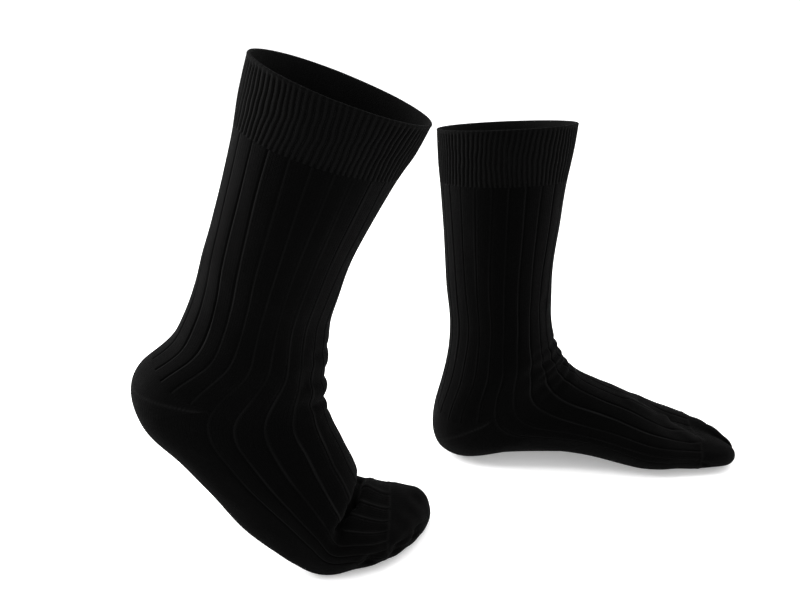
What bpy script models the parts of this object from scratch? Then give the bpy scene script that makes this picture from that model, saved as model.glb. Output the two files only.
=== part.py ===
"""A pair of long dress socks, filled out and hollow.

The left sock stands flat on its sole. The right sock stands on its ball and toes, heel raised,
with its leg leaning forward. Both are the same knitted shape, worked out from one table of
sections along the sock and bent at the ankle and at the ball of the foot.
A place on a sock is (row, turn): row counts the sections from the opening down to the toe tip,
and turn goes once round, 0 on the shin and the top of the foot, 0.25 on the inner side,
0.5 on the calf and the sole, 0.75 on the outer side.
"""

import math

import bpy
import numpy as np

MM = 0.001
COLLECTION = "pair_of_socks"

# Cloth and seams, in millimetres.
TUBE_WALL = 1.6
CUFF_WALL = 2.2
HEEL_AND_TOE_WALL = 2.0
SEAM_GAP = 0.3
SOLE_PRESS = 1.2

# How finely the cloth is cut into faces.
COLUMNS = 32
CUFF_ROWS = 4
LEG_ROWS = 9
FOOT_ROWS = 13
HEEL_ROWS = 6
TOE_ROWS = 6

# Rows where one knitted piece ends and the next starts.
TOP_ROW = 0.0
CUFF_END = 1.9
HEEL_CORNER = 10.5
HEEL_TOP_AT_BACK = 8.9
HEEL_END_UNDER_SOLE = 12.9
TOE_SEAM = 20.2
HEEL_HALF_TURN = 0.25
RIM_TILT_ROWS = 3.0
TYPICAL_ROW = 13.0
TYPICAL_GIRTH = 250.0

# Joints of the foot that bend the cloth: x forward of the heel, z above the sole.
ANKLE = (55.0, 75.0)
BALL = (185.0, 16.0)
BALL_BEND_START = 168.0
BALL_BEND_LENGTH = 34.0
MIDDLE_OF_FOOT = 130.0

# The sock on a flat foot, in millimetres, from the opening to the toe tip. Each section runs from
# its front (or upper) point to its back (or under) point, and reaches inward and outward of the
# middle line. round: exponent of the outline. sag: how far the widest place sits below the middle.
# arch: lift of the inner edge of the sole. ankle: share of the ankle's bend.
SECTION_NAMES = (
    "front_x", "front_z", "back_x", "back_z", "inward", "outward", "round", "sag", "arch", "ankle",
)
SECTIONS = (
    (116, 289, 0, 288, 50, 50, 2.0, 0.00, 0, 1.00),
    (113, 265, 1, 264, 49, 49, 2.0, 0.00, 0, 1.00),
    (109, 241, 3, 240, 47, 47, 2.0, 0.00, 0, 1.00),
    (105, 207, 6, 207, 44, 44, 2.0, 0.00, 0, 1.00),
    (101, 177, 9, 177, 40, 40, 2.0, 0.00, 0, 1.00),
    (99, 151, 12, 151, 37, 37, 2.0, 0.00, 0, 1.00),
    (98, 129, 15, 125, 35, 35, 2.0, 0.00, 0, 1.00),
    (100, 113, 13, 100, 35, 35, 2.0, 0.00, 0, 0.85),
    (104, 103, 8, 76, 36, 36, 2.0, 0.00, 0, 0.60),
    (109, 95, 2, 54, 35, 36, 2.1, 0.05, 0, 0.35),
    (114, 89, -1, 33, 34, 36, 2.2, 0.10, 0, 0.15),
    (120, 83, 5, 12, 33, 36, 2.3, 0.15, 2, 0.05),
    (129, 77, 26, 0, 33, 37, 2.4, 0.20, 5, 0.00),
    (140, 71, 54, 0, 35, 39, 2.4, 0.25, 9, 0.00),
    (152, 65, 84, 0, 37, 42, 2.4, 0.30, 12, 0.00),
    (164, 59, 114, 0, 41, 45, 2.4, 0.30, 11, 0.00),
    (176, 52, 142, 0, 46, 47, 2.4, 0.30, 7, 0.00),
    (188, 46, 167, 0, 50, 48, 2.4, 0.30, 2, 0.00),
    (200, 40, 188, 0, 51, 47, 2.4, 0.25, 0, 0.00),
    (212, 35, 205, 0, 49, 44, 2.4, 0.20, 0, 0.00),
    (224, 31, 220, 0, 47, 39, 2.4, 0.15, 0, 0.00),
    (236, 29, 235, 1, 46, 28, 2.3, 0.10, 0, 0.00),
    (248, 26, 249, 2, 43, 9, 2.2, 0.05, 0, 0.00),
    (256, 20, 257, 6, 36, -10, 2.1, 0.00, 0, 0.00),
    (259, 13, 259, 11, 28, -20, 2.0, 0.00, 0, 0.00),
)
LAST_ROW = len(SECTIONS) - 1.0

# Dips between the toes on a flat foot: x forward, y inward, depth, reach.
TOE_DIPS = (
    (248, 13, 2.2, 7.0),
    (243, -4, 2.2, 7.0),
    (235, -18, 2.2, 7.0),
    (222, -31, 2.2, 7.0),
)
TOE_DIPS_START = 17.0

# Swells and folds of each sock: from (row, turn) to (row, turn), height in millimetres (below 0
# for a crease) and half-width in millimetres.
FLAT_SOCK_FOLDS = (
    (0.0, 0.50, 3.8, 0.50, -2.0, 26.0),
    (2.8, 0.00, 5.5, 0.00, -1.5, 18.0),
    (7.5, 0.50, 9.2, 0.50, -2.0, 16.0),
    (5.0, 0.50, 7.2, 0.50, 2.0, 20.0),
    (5.8, 0.00, 8.8, 0.00, 2.5, 16.0),
    (12.4, 0.02, 14.2, 0.02, -3.5, 16.0),
    (18.6, 0.02, 22.0, 0.04, -5.5, 20.0),
    (13.5, 0.38, 18.3, 0.37, -3.0, 18.0),
    (8.2, -0.03, 8.5, 0.16, -2.0, 6.0),
    (9.6, -0.02, 10.2, 0.15, -2.0, 6.0),
)
RAISED_SOCK_FOLDS = (
    (13.0, -0.04, 16.5, -0.04, 7.5, 40.0),
    (5.0, 0.50, 6.5, 0.50, 5.5, 38.0),
    (14.2, 0.60, 16.5, 0.60, 5.0, 26.0),
    (0.0, -0.02, 0.8, 0.00, 6.0, 30.0),
    (0.0, 0.22, 0.6, 0.24, -3.0, 24.0),
    (2.6, 0.50, 4.0, 0.50, -2.5, 20.0),
    (0.0, 0.50, 1.0, 0.50, 1.5, 20.0),
    (2.0, 0.00, 4.4, 0.00, -1.0, 20.0),
    (5.4, 0.00, 6.8, 0.00, 3.0, 18.0),
    (5.8, 0.50, 7.0, 0.50, 2.5, 20.0),
    (6.6, 0.00, 8.2, 0.00, 1.5, 20.0),
    (7.6, 0.50, 8.6, 0.50, 2.0, 20.0),
    (9.8, 0.50, 10.3, 0.50, 2.0, 14.0),
    (11.6, 0.56, 13.6, 0.56, -2.0, 20.0),
    (15.8, 0.60, 16.8, 0.60, 9.0, 17.0),
    (15.4, 0.00, 16.8, 0.00, -1.5, 10.0),
    (18.8, 0.04, 20.4, 0.06, 4.0, 12.0),
    (19.2, 0.00, 21.8, 0.04, 5.0, 20.0),
    (18.2, 0.04, 17.0, -0.13, -4.5, 8.0),
    (8.2, -0.10, 8.2, 0.10, -2.0, 6.0),
    (9.8, -0.10, 9.8, 0.10, -2.0, 6.0),
)

# Each sock's place on the floor and its pose: degrees, and millimetres to the middle of the foot.
# rim_front and rim_back lift the opening's front and back edge.
SOCKS = {
    "left": dict(
        inner_side=-1, x=109.75, y=65.8, yaw=1.2, ankle=0.0, heel_raise=0.0, leg_roll=-6.3,
        rim_front=1.5, rim_back=-2.5, folds=FLAT_SOCK_FOLDS,
    ),
    "right": dict(
        inner_side=1, x=-154.05, y=-77.2, yaw=1.0, ankle=-21.4, heel_raise=40.5, leg_roll=2.3,
        rim_front=-6.0, rim_back=0.0, folds=RAISED_SOCK_FOLDS,
    ),
}

# Finishes: colour, roughness.
FINISHES = {
    "fine_rib_knit": ((0.0045, 0.0045, 0.0048), 0.90),
    "wide_rib_knit": ((0.0040, 0.0040, 0.0042), 0.88),
    "plain_knit": ((0.0042, 0.0042, 0.0044), 0.92),
}


def smooth(share):
    """0 to 1 with soft ends."""
    share = np.clip(share, 0.0, 1.0)
    return share * share * (3.0 - 2.0 * share)


def sections_at(row):
    """Every column of the section table at these rows, on one smooth natural spline."""
    table = np.array(SECTIONS, float)
    count = len(table)
    system = np.eye(count)
    bends = np.zeros_like(table)
    for k in range(1, count - 1):
        system[k, k - 1 : k + 2] = 1.0, 4.0, 1.0
        bends[k] = 6.0 * (table[k - 1] - 2.0 * table[k] + table[k + 1])
    bends = np.linalg.solve(system, bends)
    k = np.clip(row.astype(int), 0, count - 2)
    after = (row - k)[..., None]
    before = 1.0 - after
    values = before * table[k] + after * table[k + 1]
    values += ((before**3 - before) * bends[k] + (after**3 - after) * bends[k + 1]) / 6.0
    return dict(zip(SECTION_NAMES, np.moveaxis(values, -1, 0)))


def swing(x, z, pivot, angle):
    """Turn (x, z) about the pivot, lifting what is behind it for a positive angle."""
    cos, sin = np.cos(angle), np.sin(angle)
    dx, dz = x - pivot[0], z - pivot[1]
    return pivot[0] + cos * dx + sin * dz, pivot[1] - sin * dx + cos * dz


def fold_height(row, turn, fold):
    """Height of one swell or crease, which fades with the distance from its line."""
    row_a, turn_a, row_b, turn_b, height, width = fold
    middle = (turn_a + turn_b) / 2.0
    along = row * TYPICAL_ROW
    around = ((turn - middle + 0.5) % 1.0 - 0.5 + middle) * TYPICAL_GIRTH
    ax, ay = row_a * TYPICAL_ROW, turn_a * TYPICAL_GIRTH
    run_x, run_y = row_b * TYPICAL_ROW - ax, turn_b * TYPICAL_GIRTH - ay
    share = ((along - ax) * run_x + (around - ay) * run_y) / (run_x**2 + run_y**2)
    share = np.clip(share, 0.0, 1.0)
    gap = (along - ax - share * run_x) ** 2 + (around - ay - share * run_y) ** 2
    return height * np.exp(-gap / width**2)


def cloth_point(row, turn, sock):
    """Points of the cloth's outer face in metres, for arrays of rows and turns."""
    section = sections_at(row)
    angle = 2.0 * np.pi * turn
    power = section["round"]
    radius = (np.abs(np.cos(angle)) ** power + np.abs(np.sin(angle)) ** power) ** (-1.0 / power)
    across = radius * np.sin(angle)
    upward = radius * np.cos(angle) - section["sag"] * across**2

    middle_x = (section["front_x"] + section["back_x"]) / 2.0
    middle_z = (section["front_z"] + section["back_z"]) / 2.0
    middle_y = (section["inward"] - section["outward"]) / 2.0
    x = middle_x + (section["front_x"] - section["back_x"]) / 2.0 * upward
    z = middle_z + (section["front_z"] - section["back_z"]) / 2.0 * upward
    y = middle_y + (section["inward"] + section["outward"]) / 2.0 * across
    rim = sock["rim_front"] * (1.0 + upward) + sock["rim_back"] * (1.0 - upward)
    z = z + rim / 2.0 * smooth(1.0 - row / RIM_TILT_ROWS)
    z = z + section["arch"] * smooth((y + 8.0) / 38.0) * smooth((0.5 - upward) / 1.2)

    out = np.stack([x - middle_x, y - middle_y, z - middle_z])
    out = out / (np.linalg.norm(out, axis=0) + 1e-9)
    push = sum(fold_height(row, turn, fold) for fold in sock["folds"])
    for dip_x, dip_y, depth, reach in TOE_DIPS:
        near = np.exp(-((x - dip_x) ** 2 + (y - dip_y) ** 2) / reach**2)
        push = push - depth * near * smooth((row - TOE_DIPS_START) / 3.0)
    x, y, z = x + out[0] * push, y + out[1] * push, z + out[2] * push

    from_heel = np.where(section["ankle"] > 1e-3, 0.0, x)
    share = np.clip(section["ankle"], 0.0, 1.0)
    x, z = swing(x, z, ANKLE, share * math.radians(sock["ankle"]))
    share = 1.0 - smooth((from_heel - BALL_BEND_START) / BALL_BEND_LENGTH)
    x, z = swing(x, z, BALL, share * math.radians(sock["heel_raise"]))

    y = sock["inner_side"] * y
    share = np.clip((section["front_z"] - 85.0) / 60.0, 0.0, 1.0)
    roll = share * math.radians(sock["leg_roll"])
    y, z = (
        y * np.cos(roll) - (z - 80.0) * np.sin(roll),
        80.0 + y * np.sin(roll) + (z - 80.0) * np.cos(roll),
    )
    z = np.maximum(z - SOLE_PRESS, 0.0)

    x = x - MIDDLE_OF_FOOT
    yaw = math.radians(sock["yaw"])
    world_x = sock["x"] + x * math.cos(yaw) - y * math.sin(yaw)
    world_y = sock["y"] + x * math.sin(yaw) + y * math.cos(yaw)
    return np.stack([world_x, world_y, z], axis=-1) * MM


def heel_edge(turn, row_at_back):
    """Row of the heel pocket's edge: at the back it is row_at_back, at both corners the corner's row."""
    away = np.abs((turn % 1.0) - 0.5) / HEEL_HALF_TURN
    rise = 1.0 - smooth(away) * 0.35 - np.clip(away, 0.0, 1.0) * 0.65
    return HEEL_CORNER + (row_at_back - HEEL_CORNER) * rise


def rows_between(first, last, count):
    """Rows from first to last, which may change from column to column."""
    share = np.linspace(0.0, 1.0, count + 1)[:, None]
    return first + (last - first) * share


def whole_ring():
    return np.arange(COLUMNS)[None, :] / COLUMNS


def grid_faces(rows, columns, first=0, closed=True):
    """Quads of a grid of points; a closed one joins its last column to its first."""
    faces = []
    for i in range(rows - 1):
        for j in range(columns if closed else columns - 1):
            k = (j + 1) % columns
            a, b = first + i * columns, first + (i + 1) * columns
            faces.append((a + j, b + j, b + k, a + k))
    return faces


def cloth(name, points, faces, wall, finish, collection):
    """An open sheet of cloth with its outer face where the points are, and a wall inside it."""
    mesh = bpy.data.meshes.new(name)
    mesh.from_pydata(points, [], faces)
    mesh.update()
    piece = bpy.data.objects.new(name, mesh)
    collection.objects.link(piece)
    bpy.context.view_layer.objects.active = piece
    piece.select_set(True)
    bpy.ops.object.mode_set(mode="EDIT")
    bpy.ops.mesh.select_all(action="SELECT")
    bpy.ops.mesh.remove_doubles(threshold=1e-6)
    bpy.ops.mesh.normals_make_consistent(inside=False)
    bpy.ops.object.mode_set(mode="OBJECT")
    piece.select_set(False)
    solidify = piece.modifiers.new("cloth_wall", "SOLIDIFY")
    solidify.thickness = wall * MM
    solidify.offset = -1.0
    solidify.use_even_offset = False
    mesh.shade_smooth()
    mesh.set_sharp_from_angle(angle=math.radians(40.0))
    mesh.materials.append(finish)
    return piece


def cuff(side, sock, finish, collection):
    """The fine rib band, from the open top to the leg."""
    seam = SEAM_GAP / 2.0 / TYPICAL_ROW
    turn = whole_ring()
    row = rows_between(TOP_ROW + 0.0 * turn, CUFF_END - seam + 0.0 * turn, CUFF_ROWS)
    points = cloth_point(row, turn + 0.0 * row, sock).reshape(-1, 3)
    faces = grid_faces(CUFF_ROWS + 1, COLUMNS)
    return cloth(f"{side}_cuff", points, faces, CUFF_WALL, finish, collection)


def leg_and_foot(side, sock, finish, collection):
    """The knitted tube: leg, instep and sole in one, with the hole that the heel pocket fills."""
    seam = SEAM_GAP / 2.0 / TYPICAL_ROW
    turn = whole_ring()
    inside_heel = np.abs(turn - 0.5) < HEEL_HALF_TURN - 1e-6
    upper_edge = heel_edge(turn, HEEL_TOP_AT_BACK) - seam * inside_heel
    lower_edge = heel_edge(turn, HEEL_END_UNDER_SOLE) + seam * inside_heel
    leg = rows_between(CUFF_END + seam + 0.0 * turn, upper_edge, LEG_ROWS)
    foot = rows_between(lower_edge, TOE_SEAM - seam + 0.0 * turn, FOOT_ROWS)
    row = np.concatenate([leg, foot])
    points = cloth_point(row, turn + 0.0 * row, sock).reshape(-1, 3)
    faces = grid_faces(LEG_ROWS + 1, COLUMNS)
    faces += grid_faces(FOOT_ROWS + 1, COLUMNS, first=(LEG_ROWS + 1) * COLUMNS)
    return cloth(f"{side}_leg_and_foot", points, faces, TUBE_WALL, finish, collection)


def heel(side, sock, finish, collection):
    """The heel pocket: two wedges that meet at the gore line, in one cup."""
    seam = SEAM_GAP / 2.0 / TYPICAL_ROW
    side_seam = SEAM_GAP * 4.0 / TYPICAL_GIRTH
    count = COLUMNS // 2 + 1
    turn = np.linspace(0.5 - HEEL_HALF_TURN + side_seam, 0.5 + HEEL_HALF_TURN - side_seam, count)
    turn = turn[None, :]
    upper_edge = heel_edge(turn, HEEL_TOP_AT_BACK) + seam
    lower_edge = heel_edge(turn, HEEL_END_UNDER_SOLE) - seam
    row = rows_between(upper_edge, lower_edge, HEEL_ROWS)
    points = cloth_point(row, turn + 0.0 * row, sock).reshape(-1, 3)
    faces = grid_faces(HEEL_ROWS + 1, count, closed=False)
    return cloth(f"{side}_heel", points, faces, HEEL_AND_TOE_WALL, finish, collection)


def toe(side, sock, finish, collection):
    """The toe cap, closed at its tip."""
    seam = SEAM_GAP / 2.0 / TYPICAL_ROW
    turn = whole_ring()
    row = rows_between(TOE_SEAM + seam + 0.0 * turn, LAST_ROW + 0.0 * turn, TOE_ROWS)
    points = cloth_point(row, turn + 0.0 * row, sock).reshape(-1, 3)
    faces = grid_faces(TOE_ROWS + 1, COLUMNS)
    tip = points[-COLUMNS:].mean(axis=0)
    points = np.vstack([points, tip])
    last_ring = TOE_ROWS * COLUMNS
    for j in range(COLUMNS):
        faces.append((last_ring + j, len(points) - 1, last_ring + (j + 1) % COLUMNS))
    return cloth(f"{side}_toe", points, faces, HEEL_AND_TOE_WALL, finish, collection)


def finish_material(name):
    colour, roughness = FINISHES[name]
    material = bpy.data.materials.new(name)
    material.use_nodes = True
    shader = material.node_tree.nodes["Principled BSDF"]
    shader.inputs["Base Color"].default_value = (*colour, 1.0)
    shader.inputs["Roughness"].default_value = roughness
    shader.inputs["Metallic"].default_value = 0.0
    material.diffuse_color = (*colour, 1.0)
    return material


def main():
    for old in list(bpy.data.objects):
        bpy.data.objects.remove(old, do_unlink=True)
    collection = bpy.data.collections.new(COLLECTION)
    bpy.context.scene.collection.children.link(collection)
    fine_rib = finish_material("fine_rib_knit")
    wide_rib = finish_material("wide_rib_knit")
    plain = finish_material("plain_knit")
    for side, sock in SOCKS.items():
        cuff(side, sock, fine_rib, collection)
        leg_and_foot(side, sock, wide_rib, collection)
        heel(side, sock, plain, collection)
        toe(side, sock, plain, collection)


main()
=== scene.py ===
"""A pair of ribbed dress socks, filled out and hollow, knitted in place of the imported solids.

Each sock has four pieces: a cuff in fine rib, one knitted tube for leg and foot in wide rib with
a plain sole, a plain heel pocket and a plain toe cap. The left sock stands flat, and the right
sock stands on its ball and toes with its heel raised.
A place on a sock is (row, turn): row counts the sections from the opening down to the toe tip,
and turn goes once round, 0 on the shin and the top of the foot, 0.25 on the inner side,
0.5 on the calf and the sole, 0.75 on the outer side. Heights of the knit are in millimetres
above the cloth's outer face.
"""

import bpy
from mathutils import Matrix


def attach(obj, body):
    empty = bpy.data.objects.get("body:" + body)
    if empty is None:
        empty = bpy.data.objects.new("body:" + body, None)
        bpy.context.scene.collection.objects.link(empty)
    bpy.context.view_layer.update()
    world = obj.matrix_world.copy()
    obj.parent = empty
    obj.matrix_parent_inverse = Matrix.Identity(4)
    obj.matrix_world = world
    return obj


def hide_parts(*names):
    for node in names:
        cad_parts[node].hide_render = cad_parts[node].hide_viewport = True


bl_info = {
    "name": "Pair of ribbed dress socks",
    "version": (1, 0, 0),
    "blender": (4, 5, 0),
    "location": "View3D > Sidebar > Socks",
    "description": "Knits a pair of filled-out ribbed socks in their packed frame, with a stage",
    "category": "Add Mesh",
}

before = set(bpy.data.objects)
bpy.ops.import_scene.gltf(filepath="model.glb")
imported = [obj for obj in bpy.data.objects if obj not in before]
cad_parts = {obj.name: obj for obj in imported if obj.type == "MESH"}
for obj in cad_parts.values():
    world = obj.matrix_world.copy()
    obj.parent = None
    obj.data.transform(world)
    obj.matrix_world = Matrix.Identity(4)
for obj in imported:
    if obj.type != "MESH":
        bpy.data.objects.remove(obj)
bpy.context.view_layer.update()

import math

import bpy
import numpy as np

MM = 0.001

# Walls of the cloth, in millimetres.
TUBE_WALL = 1.6
CUFF_WALL = 2.2
HEEL_AND_TOE_WALL = 2.0
SOLE_PRESS = 1.2

# Rows where one knitted piece ends and the next starts.
CUFF_END = 1.9
HEEL_CORNER = 10.5
HEEL_TOP_AT_BACK = 8.9
HEEL_END_UNDER_SOLE = 12.9
TOE_SEAM = 20.2
HEEL_HALF_TURN = 0.25
RIM_TILT_ROWS = 3.0
TYPICAL_ROW = 13.0
TYPICAL_GIRTH = 250.0

# Joints of the foot that bend the cloth: x forward of the heel, z above the sole.
ANKLE = (55.0, 75.0)
BALL = (185.0, 16.0)
BALL_BEND_START = 168.0
BALL_BEND_LENGTH = 34.0
MIDDLE_OF_FOOT = 130.0

# The sock on a flat foot, in millimetres, from the opening to the toe tip. Each section runs from
# its front (or upper) point to its back (or under) point, and reaches inward and outward of the
# middle line. round: exponent of the outline. sag: how far the widest place sits below the middle.
# arch: lift of the inner edge of the sole. ankle: share of the ankle's bend.
SECTION_NAMES = (
    "front_x", "front_z", "back_x", "back_z", "inward", "outward", "round", "sag", "arch", "ankle",
)
SECTIONS = (
    (116, 289, 0, 288, 50, 50, 2.0, 0.00, 0, 1.00),
    (113, 265, 1, 264, 49, 49, 2.0, 0.00, 0, 1.00),
    (109, 241, 3, 240, 47, 47, 2.0, 0.00, 0, 1.00),
    (105, 207, 6, 207, 44, 44, 2.0, 0.00, 0, 1.00),
    (101, 177, 9, 177, 40, 40, 2.0, 0.00, 0, 1.00),
    (99, 151, 12, 151, 37, 37, 2.0, 0.00, 0, 1.00),
    (98, 129, 15, 125, 35, 35, 2.0, 0.00, 0, 1.00),
    (100, 113, 13, 100, 35, 35, 2.0, 0.00, 0, 0.85),
    (104, 103, 8, 76, 36, 36, 2.0, 0.00, 0, 0.60),
    (109, 95, 2, 54, 35, 36, 2.1, 0.05, 0, 0.35),
    (114, 89, -1, 33, 34, 36, 2.2, 0.10, 0, 0.15),
    (120, 83, 5, 12, 33, 36, 2.3, 0.15, 2, 0.05),
    (129, 77, 26, 0, 33, 37, 2.4, 0.20, 5, 0.00),
    (140, 71, 54, 0, 35, 39, 2.4, 0.25, 9, 0.00),
    (152, 65, 84, 0, 37, 42, 2.4, 0.30, 12, 0.00),
    (164, 59, 114, 0, 41, 45, 2.4, 0.30, 11, 0.00),
    (176, 52, 142, 0, 46, 47, 2.4, 0.30, 7, 0.00),
    (188, 46, 167, 0, 50, 48, 2.4, 0.30, 2, 0.00),
    (200, 40, 188, 0, 51, 47, 2.4, 0.25, 0, 0.00),
    (212, 35, 205, 0, 49, 44, 2.4, 0.20, 0, 0.00),
    (224, 31, 220, 0, 47, 39, 2.4, 0.15, 0, 0.00),
    (236, 29, 235, 1, 46, 28, 2.3, 0.10, 0, 0.00),
    (248, 26, 249, 2, 43, 9, 2.2, 0.05, 0, 0.00),
    (256, 20, 257, 6, 36, -10, 2.1, 0.00, 0, 0.00),
    (259, 13, 259, 11, 28, -20, 2.0, 0.00, 0, 0.00),
)
LAST_ROW = len(SECTIONS) - 1.0

# Dips between the toes on a flat foot: x forward, y inward, depth, reach.
TOE_DIPS = (
    (248, 13, 2.2, 7.0),
    (243, -4, 2.2, 7.0),
    (235, -18, 2.2, 7.0),
    (222, -31, 2.2, 7.0),
)
TOE_DIPS_START = 17.0

# Swells and folds of each sock: from (row, turn) to (row, turn), height in millimetres (below 0
# for a crease) and half-width in millimetres.
FLAT_SOCK_FOLDS = (
    (0.0, 0.50, 3.8, 0.50, -2.0, 26.0),
    (2.8, 0.00, 5.5, 0.00, -1.5, 18.0),
    (7.5, 0.50, 9.2, 0.50, -2.0, 16.0),
    (5.0, 0.50, 7.2, 0.50, 2.0, 20.0),
    (5.8, 0.00, 8.8, 0.00, 2.5, 16.0),
    (12.4, 0.02, 14.2, 0.02, -3.5, 16.0),
    (18.6, 0.02, 22.0, 0.04, -5.5, 20.0),
    (13.5, 0.38, 18.3, 0.37, -3.0, 18.0),
    (8.2, -0.03, 8.5, 0.16, -2.0, 6.0),
    (9.6, -0.02, 10.2, 0.15, -2.0, 6.0),
)
RAISED_SOCK_FOLDS = (
    (13.0, -0.04, 16.5, -0.04, 7.5, 40.0),
    (5.0, 0.50, 6.5, 0.50, 5.5, 38.0),
    (14.2, 0.60, 16.5, 0.60, 5.0, 26.0),
    (0.0, -0.02, 0.8, 0.00, 6.0, 30.0),
    (0.0, 0.22, 0.6, 0.24, -3.0, 24.0),
    (2.6, 0.50, 4.0, 0.50, -2.5, 20.0),
    (0.0, 0.50, 1.0, 0.50, 1.5, 20.0),
    (2.0, 0.00, 4.4, 0.00, -1.0, 20.0),
    (5.4, 0.00, 6.8, 0.00, 3.0, 18.0),
    (5.8, 0.50, 7.0, 0.50, 2.5, 20.0),
    (6.6, 0.00, 8.2, 0.00, 1.5, 20.0),
    (7.6, 0.50, 8.6, 0.50, 2.0, 20.0),
    (9.8, 0.50, 10.3, 0.50, 2.0, 14.0),
    (11.6, 0.56, 13.6, 0.56, -2.0, 20.0),
    (15.8, 0.60, 16.8, 0.60, 9.0, 17.0),
    (15.4, 0.00, 16.8, 0.00, -1.5, 10.0),
    (18.8, 0.04, 20.4, 0.06, 4.0, 12.0),
    (19.2, 0.00, 21.8, 0.04, 5.0, 20.0),
    (18.2, 0.04, 17.0, -0.13, -4.5, 8.0),
    (8.2, -0.10, 8.2, 0.10, -2.0, 6.0),
    (9.8, -0.10, 9.8, 0.10, -2.0, 6.0),
)

# Finer creases (below 0) and soft ridges of the knit, in the same columns as the folds.
FLAT_SOCK_CREASES = (
    (7.40, -0.02, 7.55, 0.15, -1.3, 3.0),
    (7.85, -0.05, 8.00, 0.07, 0.8, 4.0),
    (8.70, 0.02, 8.45, 0.12, -0.9, 2.6),
    (9.05, -0.03, 9.35, 0.13, -1.4, 3.0),
    (9.40, 0.10, 9.95, 0.04, -1.0, 2.6),
    (10.70, -0.01, 11.10, 0.14, -1.2, 3.2),
    (11.40, 0.02, 11.60, 0.10, 0.6, 4.5),
    (5.30, 0.10, 5.55, 0.22, -0.6, 3.5),
    (5.75, 0.05, 5.70, 0.16, -0.5, 3.0),
    (8.10, -0.14, 8.55, -0.05, -1.1, 3.4),
    (9.60, -0.17, 9.90, -0.07, -0.9, 3.8),
    (11.00, -0.12, 10.80, -0.04, -0.7, 3.6),
    (15.60, 0.035, 17.95, 0.040, 2.8, 5.0),
    (17.95, 0.040, 20.15, 0.113, 2.8, 5.0),
    (16.60, -0.005, 18.80, -0.010, -1.4, 4.6),
    (16.90, -0.060, 19.60, -0.090, 1.2, 8.0),
    (21.20, -0.050, 23.40, -0.010, 1.8, 9.0),
    (20.05, 0.225, 20.45, 0.265, -1.3, 2.6),
    (19.80, 0.250, 20.60, 0.300, 0.7, 3.0),
    (3.20, 0.36, 6.40, 0.33, -0.5, 9.0),
    (4.10, 0.62, 7.30, 0.66, -0.6, 10.0),
    (2.60, 0.88, 5.20, 0.84, -0.4, 9.0),
    (13.40, 0.82, 15.80, 0.86, -0.6, 8.0),
    (13.20, 0.28, 16.20, 0.30, -0.8, 9.0),
)
RAISED_SOCK_CREASES = (
    (18.35, 0.050, 18.00, -0.045, -3.2, 2.8),
    (18.00, -0.045, 16.75, -0.123, -6.2, 2.6),
    (17.55, 0.09, 17.15, -0.03, 0.9, 5.5),
    (18.95, 0.03, 17.90, -0.10, 0.8, 5.0),
    (17.10, -0.13, 16.20, -0.16, -1.2, 4.5),
    (19.40, 0.05, 18.70, -0.05, -0.6, 3.0),
    (16.60, -0.02, 16.10, -0.09, -0.8, 3.0),
    (15.90, 0.05, 15.70, -0.05, -0.6, 3.2),
    (7.15, -0.08, 7.00, 0.06, -1.1, 2.8),
    (7.75, -0.05, 7.85, 0.04, 0.7, 3.5),
    (8.55, -0.10, 8.75, 0.08, -1.4, 3.0),
    (9.20, -0.04, 9.10, 0.10, 0.4, 3.6),
    (10.00, -0.07, 9.80, 0.09, -1.5, 3.0),
    (10.70, -0.05, 10.90, 0.05, -0.8, 2.8),
    (8.20, 0.12, 8.80, 0.20, -0.9, 4.0),
    (9.90, 0.11, 10.60, 0.19, -0.8, 4.4),
    (18.60, 0.740, 18.75, 0.750, 0.9, 6.0),
    (19.30, 0.725, 19.40, 0.775, -3.2, 4.0),
    (20.05, 0.750, 20.15, 0.760, 1.2, 4.5),
    (20.75, 0.735, 20.85, 0.790, -3.0, 3.6),
    (21.30, 0.765, 21.40, 0.775, 1.1, 4.0),
    (21.85, 0.745, 21.95, 0.800, -2.6, 3.2),
    (17.40, 0.20, 18.40, 0.24, -1.3, 5.0),
    (16.80, 0.60, 17.60, 0.40, -1.2, 7.0),
    (17.90, 0.62, 18.30, 0.44, -0.8, 6.0),
    (3.00, 0.63, 6.20, 0.67, -0.5, 9.0),
    (2.50, 0.36, 5.60, 0.31, -0.6, 10.0),
    (6.60, 0.42, 8.20, 0.56, -0.7, 7.0),
    (12.20, 0.80, 15.40, 0.84, -0.5, 8.0),
    (12.60, 0.20, 15.20, 0.16, -0.6, 9.0),
)

# Each sock's place on the floor and its pose: degrees, and millimetres to the middle of the foot.
# rim_front and rim_back lift the opening's front and back edge. drift: how far round the cuff's
# ribs lean, in turns, and where that starts.
SOCKS = {
    "left": dict(
        inner_side=-1, x=109.75, y=65.8, yaw=1.2, ankle=0.0, heel_raise=0.0, leg_roll=-6.3,
        rim_front=1.5, rim_back=-2.5, folds=FLAT_SOCK_FOLDS, creases=FLAT_SOCK_CREASES,
        drift=0.007, drift_start=0.10,
    ),
    "right": dict(
        inner_side=1, x=-154.05, y=-77.2, yaw=1.0, ankle=-21.4, heel_raise=40.5, leg_roll=2.3,
        rim_front=-6.0, rim_back=0.0, folds=RAISED_SOCK_FOLDS, creases=RAISED_SOCK_CREASES,
        drift=0.008, drift_start=0.55,
    ),
}

# How finely the knit is cut into faces. The wide rib has its columns close together in the groove.
WIDE_RIB_COLUMNS = (0.0, 0.03, 0.06, 0.10, 0.17, 0.30, 0.50, 0.70, 0.83, 0.90, 0.94, 0.97)
CUFF_RIB_COLUMNS = 8
CUFF_ROWS = 36
CUFF_INNER_ROWS = 12
RIM_STEPS = 6
LEG_ROWS = 76
FOOT_ROWS = 74
HEEL_COLUMNS = 140
HEEL_ROWS = 90
TOE_COLUMNS = 192
TOE_ROWS = 48
SHARP_ANGLE = math.radians(60.0)

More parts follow.
